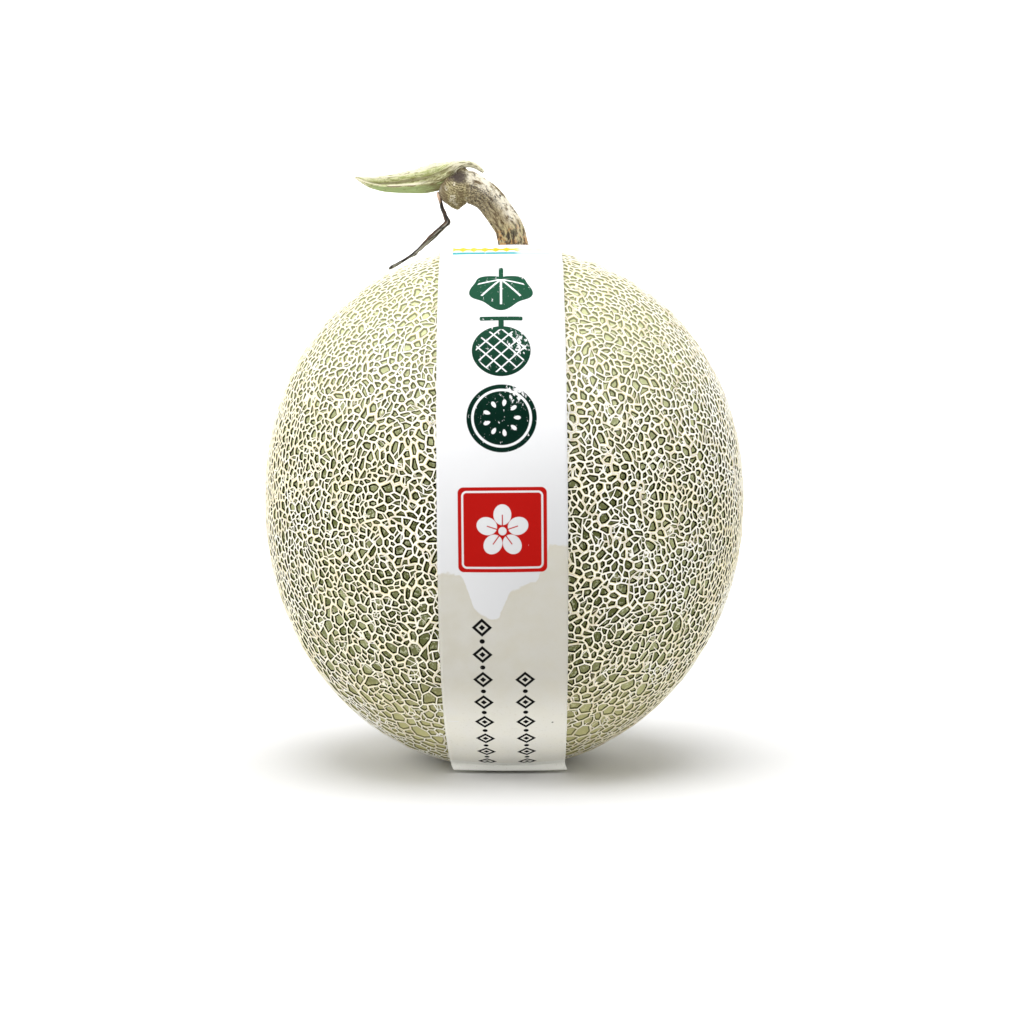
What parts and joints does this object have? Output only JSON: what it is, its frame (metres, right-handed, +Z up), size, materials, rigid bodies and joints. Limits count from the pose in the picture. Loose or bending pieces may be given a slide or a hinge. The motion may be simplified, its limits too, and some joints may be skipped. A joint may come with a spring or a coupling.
{
  "type": "muskmelon",
  "caption": "Netted muskmelon standing upright on a small flat, with its ribbed stalk, a length of shrivelled vine, a dried tendril and a strip label down the front.",
  "frame": {"origin": "centre of the small flat that the fruit rests on", "axes": "+Z up along the stem axis, -Y towards the label, -X the way the stalk leans"},
  "size_m": [0.151, 0.1524, 0.19],
  "materials": {
    "netted_rind": "matte",
    "dry_stalk": "matte",
    "shrivelled_vine": "matte",
    "dry_tendril": "matte",
    "label_paper": "satin"
  },
  "bodies": {
    "root": {"fruit": "netted_rind", "fruit_stalk": "dry_stalk", "vine_piece": "shrivelled_vine", "tendril": "dry_tendril", "label_strip": "label_paper"}
  },
  "joints": []
}
